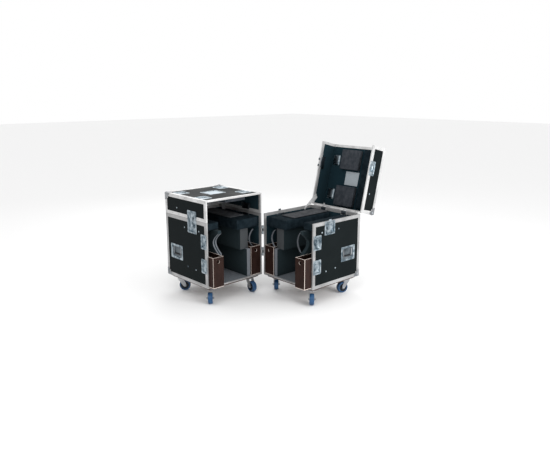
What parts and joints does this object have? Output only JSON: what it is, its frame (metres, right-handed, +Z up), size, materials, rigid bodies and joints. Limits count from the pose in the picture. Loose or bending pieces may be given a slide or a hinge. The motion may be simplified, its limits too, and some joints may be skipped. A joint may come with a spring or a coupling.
{
  "type": "equipment rack case",
  "caption": "Hinged two-part flight case on swivel castors, with lidded halves, sliding bins, felt partitions, foam beams, recessed twist latches and folding grips.",
  "frame": {"origin": "middle of the bounding box on the floor, under the wheels", "axes": "+X runs along the right half from its open front to its back, +Y along the left half from its open front to its back, +Z up"},
  "size_m": [1.5546, 1.2376, 1.3137],
  "materials": {
    "laminate": "fine-textured black laminate on plywood",
    "aluminium": "satin mill extrusion",
    "zinc": "bright zinc plated pressed steel",
    "castor_zinc": "zinc plated pressed steel",
    "blue_tyre": "blue elastic rubber tread",
    "brown_board": "dark brown film-faced board",
    "castor_board": "brown phenolic birch board",
    "grey_felt": "grey felt carpet",
    "dark_foam": "dense charcoal foam",
    "black_rubber": "moulded black rubber"
  },
  "bodies": {
    "left_half": {"left_carcass": "laminate", "left_edge_frame": "aluminium", "left_castor_board": "castor_board", "left_felt_insert": "grey_felt", "left_spine_foam": "dark_foam", "left_outer_foam": "dark_foam", "left_outer_lid_latch_dish": "zinc", "left_spine_lid_latch_dish": "zinc", "left_lower_split_keeper_dish": "zinc", "left_upper_split_keeper_dish": "zinc", "left_handle_dish": "zinc"},
    "right_half": {"right_carcass": "laminate", "right_edge_frame": "aluminium", "right_castor_board": "castor_board", "right_felt_insert": "grey_felt", "right_spine_foam": "dark_foam", "right_outer_foam": "dark_foam", "right_outer_lid_latch_dish": "zinc", "right_spine_lid_latch_dish": "zinc", "right_lower_split_latch_dish": "zinc", "right_upper_split_latch_dish": "zinc", "right_handle_dish": "zinc"},
    "left_lid": {"left_lid_shell": "laminate", "left_lid_edge_frame": "aluminium", "left_outer_lid_keeper": "zinc", "left_spine_lid_keeper": "zinc"},
    "left_stay": {"left_lid_stay": "zinc"},
    "left_spine_tray": {"left_spine_bin": "brown_board"},
    "left_outer_tray": {"left_outer_bin": "brown_board"},
    "left_outer_lid_latch_turn": {"left_outer_lid_latch": "zinc"},
    "left_spine_lid_latch_turn": {"left_spine_lid_latch": "zinc"},
    "left_grip": {"left_handle_grip": "black_rubber"},
    "left_front_spine_swivel": {"left_front_spine_fork": "castor_zinc"},
    "left_front_spine_roller": {"left_front_spine_wheel": "blue_tyre"},
    "left_back_spine_swivel": {"left_back_spine_fork": "castor_zinc"},
    "left_back_spine_roller": {"left_back_spine_wheel": "blue_tyre"},
    "left_front_outer_swivel": {"left_front_outer_fork": "castor_zinc"},
    "left_front_outer_roller": {"left_front_outer_wheel": "blue_tyre"},
    "left_back_outer_swivel": {"left_back_outer_fork": "castor_zinc"},
    "left_back_outer_roller": {"left_back_outer_wheel": "blue_tyre"},
    "right_lid": {"right_lid_shell": "laminate", "right_lid_edge_frame": "aluminium", "right_outer_lid_keeper": "zinc", "right_spine_lid_keeper": "zinc"},
    "right_stay": {"right_lid_stay": "zinc"},
    "right_spine_tray": {"right_spine_bin": "brown_board"},
    "right_outer_tray": {"right_outer_bin": "brown_board"},
    "right_outer_lid_latch_turn": {"right_outer_lid_latch": "zinc"},
    "right_spine_lid_latch_turn": {"right_spine_lid_latch": "zinc"},
    "right_lower_split_latch_turn": {"right_lower_split_latch": "zinc"},
    "right_upper_split_latch_turn": {"right_upper_split_latch": "zinc"},
    "right_grip": {"right_handle_grip": "black_rubber"},
    "right_front_spine_swivel": {"right_front_spine_fork": "castor_zinc"},
    "right_front_spine_roller": {"right_front_spine_wheel": "blue_tyre"},
    "right_back_spine_swivel": {"right_back_spine_fork": "castor_zinc"},
    "right_back_spine_roller": {"right_back_spine_wheel": "blue_tyre"},
    "right_front_outer_swivel": {"right_front_outer_fork": "castor_zinc"},
    "right_front_outer_roller": {"right_front_outer_wheel": "blue_tyre"},
    "right_back_outer_swivel": {"right_back_outer_fork": "castor_zinc"},
    "right_back_outer_roller": {"right_back_outer_wheel": "blue_tyre"}
  },
  "joints": [
    {"name": "book_hinge", "type": "hinge", "parent": "left_half", "child": "right_half", "pos_m": [-0.1566, 0.00185, 0.155], "axis": [0, 0, 1], "range_deg": [-90, 90]},
    {"name": "left_lid_hinge", "type": "hinge", "parent": "left_half", "child": "left_lid", "pos_m": [-0.4698, 0.61335, 0.7215], "axis": [-1, 0, 0], "range_deg": [0, 103.7]},
    {"name": "left_stay_pivot", "type": "hinge", "parent": "left_lid", "child": "left_stay", "pos_m": [-0.18, 0.51835, 0.742], "axis": [-1, 0, 0], "range_deg": [-51.9, 0]},
    {"name": "left_spine_bin_slide", "type": "slide", "parent": "left_half", "child": "left_spine_tray", "axis": [0, -1, 0], "range_m": [0, 0.2]},
    {"name": "left_outer_bin_slide", "type": "slide", "parent": "left_half", "child": "left_outer_tray", "axis": [0, -1, 0], "range_m": [-0.0651, 0.0651]},
    {"name": "left_outer_lid_latch_twist", "type": "hinge", "parent": "left_half", "child": "left_outer_lid_latch_turn", "pos_m": [-0.7648, 0.20535, 0.66475], "axis": [-1, 0, 0], "range_deg": [0, 90]},
    {"name": "left_spine_lid_latch_twist", "type": "hinge", "parent": "left_half", "child": "left_spine_lid_latch_turn", "pos_m": [-0.1748, 0.20535, 0.66475], "axis": [1, 0, 0], "range_deg": [0, 90]},
    {"name": "left_grip_hinge", "type": "hinge", "parent": "left_half", "child": "left_grip", "pos_m": [-0.7673, 0.44935, 0.432], "axis": [0, 1, 0], "range_deg": [0, 90], "stiffness_Nm_per_rad": 0.3},
    {"name": "left_front_spine_swivel_hinge", "type": "hinge", "parent": "left_half", "child": "left_front_spine_swivel", "pos_m": [-0.2468, 0.08335, 0.1332], "axis": [0, 0, 1], "continuous": true},
    {"name": "left_front_spine_wheel_spin", "type": "hinge", "parent": "left_front_spine_swivel", "child": "left_front_spine_roller", "pos_m": [-0.25062, 0.04554, 0.05], "axis": [0.9949, -0.1005, 0], "continuous": true},
    {"name": "left_back_spine_swivel_hinge", "type": "hinge", "parent": "left_half", "child": "left_back_spine_swivel", "pos_m": [-0.2468, 0.52635, 0.1332], "axis": [0, 0, 1], "continuous": true},
    {"name": "left_back_spine_wheel_spin", "type": "hinge", "parent": "left_back_spine_swivel", "child": "left_back_spine_roller", "pos_m": [-0.23536, 0.56259, 0.05], "axis": [-0.9536, 0.3011, 0], "continuous": true},
    {"name": "left_front_outer_swivel_hinge", "type": "hinge", "parent": "left_half", "child": "left_front_outer_swivel", "pos_m": [-0.6928, 0.08335, 0.1332], "axis": [0, 0, 1], "continuous": true},
    {"name": "left_front_outer_wheel_spin", "type": "hinge", "parent": "left_front_outer_swivel", "child": "left_front_outer_roller", "pos_m": [-0.71517, 0.05263, 0.05], "axis": [0.8083, -0.5888, 0], "continuous": true},
    {"name": "left_back_outer_swivel_hinge", "type": "hinge", "parent": "left_half", "child": "left_back_outer_swivel", "pos_m": [-0.6928, 0.52635, 0.1332], "axis": [0, 0, 1], "continuous": true},
    {"name": "left_back_outer_wheel_spin", "type": "hinge", "parent": "left_back_outer_swivel", "child": "left_back_outer_roller", "pos_m": [-0.665, 0.50045, 0.05], "axis": [0.6816, 0.7317, 0], "continuous": true},
    {"name": "right_lid_hinge", "type": "hinge", "parent": "right_half", "child": "right_lid", "pos_m": [0.4549, -0.31135, 0.7215], "axis": [0, 1, 0], "range_deg": [-103.7, 0]},
    {"name": "right_stay_pivot", "type": "hinge", "parent": "right_lid", "child": "right_stay", "pos_m": [0.49732, -0.02155, 0.80894], "axis": [0, 1, 0], "range_deg": [0, 51.9]},
    {"name": "right_spine_bin_slide", "type": "slide", "parent": "right_half", "child": "right_spine_tray", "axis": [-1, 0, 0], "range_m": [0, 0.2]},
    {"name": "right_outer_bin_slide", "type": "slide", "parent": "right_half", "child": "right_outer_tray", "axis": [-1, 0, 0], "range_m": [-0.0851, 0.0851]},
    {"name": "right_outer_lid_latch_twist", "type": "hinge", "parent": "right_half", "child": "right_outer_lid_latch_turn", "pos_m": [0.0469, -0.60635, 0.66475], "axis": [0, -1, 0], "range_deg": [0, 90]},
    {"name": "right_spine_lid_latch_twist", "type": "hinge", "parent": "right_half", "child": "right_spine_lid_latch_turn", "pos_m": [0.0469, -0.01635, 0.66475], "axis": [0, 1, 0], "range_deg": [0, 90]},
    {"name": "right_lower_split_latch_twist", "type": "hinge", "parent": "right_half", "child": "right_lower_split_latch_turn", "pos_m": [-0.1071, -0.60635, 0.344], "axis": [0, -1, 0], "range_deg": [0, 90]},
    {"name": "right_upper_split_latch_twist", "type": "hinge", "parent": "right_half", "child": "right_upper_split_latch_turn", "pos_m": [-0.1071, -0.60635, 0.554], "axis": [0, -1, 0], "range_deg": [0, 90]},
    {"name": "right_grip_hinge", "type": "hinge", "parent": "right_half", "child": "right_grip", "pos_m": [0.2909, -0.60885, 0.432], "axis": [-1, 0, 0], "range_deg": [0, 90], "stiffness_Nm_per_rad": 0.3},
    {"name": "right_front_spine_swivel_hinge", "type": "hinge", "parent": "right_half", "child": "right_front_spine_swivel", "pos_m": [-0.0751, -0.08835, 0.1332], "axis": [0, 0, 1], "continuous": true},
    {"name": "right_front_spine_wheel_spin", "type": "hinge", "parent": "right_front_spine_swivel", "child": "right_front_spine_roller", "pos_m": [-0.0492, -0.06055, 0.05], "axis": [-0.7317, 0.6816, 0], "continuous": true},
    {"name": "right_back_spine_swivel_hinge", "type": "hinge", "parent": "right_half", "child": "right_back_spine_swivel", "pos_m": [0.3679, -0.08835, 0.1332], "axis": [0, 0, 1], "continuous": true},
    {"name": "right_back_spine_wheel_spin", "type": "hinge", "parent": "right_back_spine_swivel", "child": "right_back_spine_roller", "pos_m": [0.3983, -0.11115, 0.05], "axis": [0.6, 0.8, 0], "continuous": true},
    {"name": "right_front_outer_swivel_hinge", "type": "hinge", "parent": "right_half", "child": "right_front_outer_swivel", "pos_m": [-0.0751, -0.53435, 0.1332], "axis": [0, 0, 1], "continuous": true},
    {"name": "right_front_outer_wheel_spin", "type": "hinge", "parent": "right_front_outer_swivel", "child": "right_front_outer_roller", "pos_m": [-0.1029, -0.56025, 0.05], "axis": [0.6816, -0.7317, 0], "continuous": true},
    {"name": "right_back_outer_swivel_hinge", "type": "hinge", "parent": "right_half", "child": "right_back_outer_swivel", "pos_m": [0.3679, -0.53435, 0.1332], "axis": [0, 0, 1], "continuous": true},
    {"name": "right_back_outer_wheel_spin", "type": "hinge", "parent": "right_back_outer_swivel", "child": "right_back_outer_roller", "pos_m": [0.33177, -0.52257, 0.05], "axis": [-0.31, -0.9507, 0], "continuous": true}
  ],
  "couplings": [
    {"joint": "left_stay_pivot", "follows": "left_lid_hinge", "ratio": -0.5},
    {"joint": "left_outer_bin_slide", "follows": "book_hinge", "m_per_rad": 0.04138},
    {"joint": "right_stay_pivot", "follows": "right_lid_hinge", "ratio": -0.5},
    {"joint": "right_outer_bin_slide", "follows": "book_hinge", "m_per_rad": 0.05411}
  ]
}
